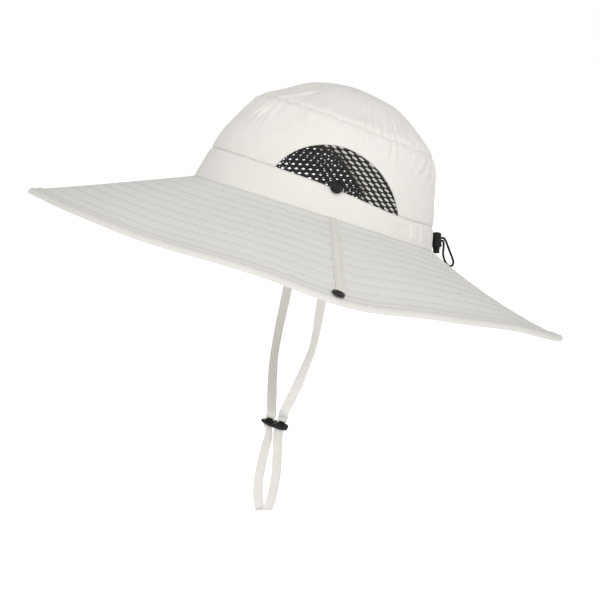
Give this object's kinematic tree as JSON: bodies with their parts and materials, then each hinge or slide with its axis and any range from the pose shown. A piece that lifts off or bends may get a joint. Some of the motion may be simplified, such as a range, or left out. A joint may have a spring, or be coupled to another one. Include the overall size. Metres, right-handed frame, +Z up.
{
  "type": "wide brim sun hat",
  "caption": "Wide brim sun hat with a domed gathered crown, net side windows, bound quilted brim, back draw cord with a lock, and a hanging chin strap with a slider.",
  "frame": {"origin": "middle of the brim seam, where the head sits in the crown", "axes": "+Z up as worn, -Y to the front, +X to the wearer's left; the hat itself is tipped back 18 degrees about X and the chin strap hangs straight down"},
  "size_m": [0.39, 0.4394, 0.354],
  "materials": {
    "shell": "matt ripstop cloth",
    "brim": "matt quilted cloth",
    "binding": "matt woven tape",
    "webbing": "flat woven webbing",
    "net": "warp knitted net",
    "plastic": "satin moulded",
    "cord": "braided elastic"
  },
  "bodies": {
    "hat": {"crown_band": "shell", "crown_side": "shell", "crown_tip": "shell", "brim": "brim", "brim_binding": "binding", "side_tape_left": "binding", "side_tape_right": "binding", "net_left": "net", "net_right": "net", "brim_stud_left": "plastic", "brim_stud_right": "plastic", "crown_stud_left": "plastic", "crown_stud_right": "plastic", "chin_strap": "webbing", "strap_slider": "plastic", "draw_cord": "cord", "cord_lock_barrel": "plastic"},
    "plunger": {"cord_lock_plunger": "plastic"}
  },
  "joints": [
    {"name": "cord_lock_press", "type": "slide", "parent": "hat", "child": "plunger", "axis": [0, 0, 1], "range_m": [0, 0.0016], "stiffness_N_per_m": 500, "springref_m": -0.003}
  ]
}
